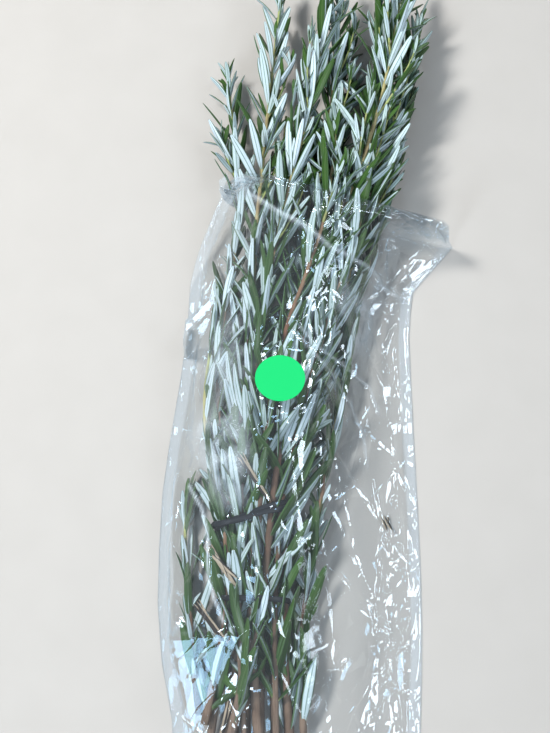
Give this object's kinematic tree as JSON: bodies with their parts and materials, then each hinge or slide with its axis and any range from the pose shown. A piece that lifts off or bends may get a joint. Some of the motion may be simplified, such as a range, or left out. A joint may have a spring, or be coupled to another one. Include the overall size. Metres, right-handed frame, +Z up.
{
  "type": "rosemary bundle in a clear sleeve",
  "caption": "Long cut rosemary sprigs with narrow grey-green leaves, tied with dark rubber bands, lying in an open clear film sleeve that carries a round green label.",
  "frame": {"origin": "middle of the bounding box at its lowest face, where the lower film of the sleeve rests on the surface", "axes": "+Z up from the surface the bunch lies on; +Y along the bunch, from the cut stem ends to the growing tips; +X across the bunch, towards the sleeve's wider free side"},
  "size_m": [0.157, 0.4782, 0.0524],
  "materials": {
    "foliage": "green rosemary leaves, dark and slightly glossy above, pale silvery grey-green below with a fine midrib; stems yellow-green when young, brown and woody at the cut end",
    "dry_leaf": "dried brown rosemary leaf, matt",
    "rubber": "flat dark brown-black rubber band, dull",
    "label_paper": "bright fluorescent green coated paper sticker, smooth",
    "film": "thin clear crinkled polypropylene film, very glossy"
  },
  "bodies": {
    "root": {"sleeve": "film", "label": "label_paper", "rubber_band_upper": "rubber", "rubber_band_lower": "rubber", "loose_leaf_1": "dry_leaf", "loose_leaf_2": "dry_leaf", "loose_leaf_3": "dry_leaf", "loose_leaf_4": "dry_leaf", "loose_leaf_5": "dry_leaf", "sprig_01": "foliage", "sprig_02": "foliage", "sprig_03": "foliage", "sprig_04": "foliage", "sprig_05": "foliage", "sprig_06": "foliage", "sprig_07": "foliage", "sprig_08": "foliage", "sprig_09": "foliage", "sprig_10": "foliage", "sprig_11": "foliage", "sprig_12": "foliage", "sprig_13": "foliage", "sprig_14": "foliage"}
  },
  "joints": []
}
